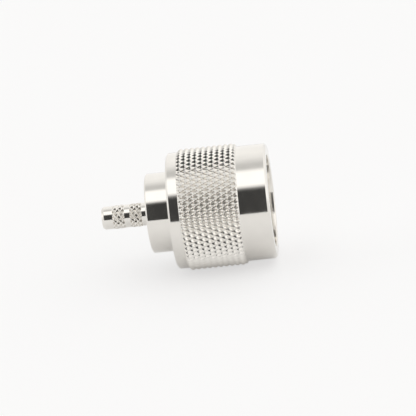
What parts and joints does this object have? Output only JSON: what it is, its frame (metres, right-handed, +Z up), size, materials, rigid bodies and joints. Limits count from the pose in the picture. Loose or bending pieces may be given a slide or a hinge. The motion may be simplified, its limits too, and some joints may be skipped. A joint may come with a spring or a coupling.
{
  "type": "n type connector",
  "caption": "Straight coaxial crimp plug with a knurled screw-on coupling nut, slotted outer contact, centre pin and a knurled stem for the cable's braid.",
  "frame": {"origin": "on the axis at the reference plane, the front end of the outer contact", "axes": "+X along the axis towards the mating jack, -X towards the cable, +Z up as the plug lies on its nut"},
  "size_m": [0.0295, 0.021, 0.021],
  "materials": {
    "nickel_plate_nut": "polished",
    "nickel_plate_shell": "polished",
    "nickel_plate_contact": "polished",
    "ptfe": "satin",
    "gold_plate": "polished",
    "silicone": "matte",
    "spring_steel": "satin"
  },
  "bodies": {
    "plug_body": {"body_shell": "nickel_plate_shell", "outer_contact": "nickel_plate_contact", "insulator": "ptfe", "centre_contact": "gold_plate", "gasket": "silicone"},
    "ring": {"retaining_ring": "spring_steel"},
    "nut": {"coupling_nut": "nickel_plate_nut"}
  },
  "joints": [
    {"name": "nut_float", "type": "slide", "parent": "plug_body", "child": "ring", "axis": [1, 0, 0], "range_m": [0, 0.0004]},
    {"name": "nut_spin", "type": "hinge", "parent": "ring", "child": "nut", "pos_m": [-0.0137, 0, 0], "axis": [1, 0, 0], "continuous": true}
  ]
}
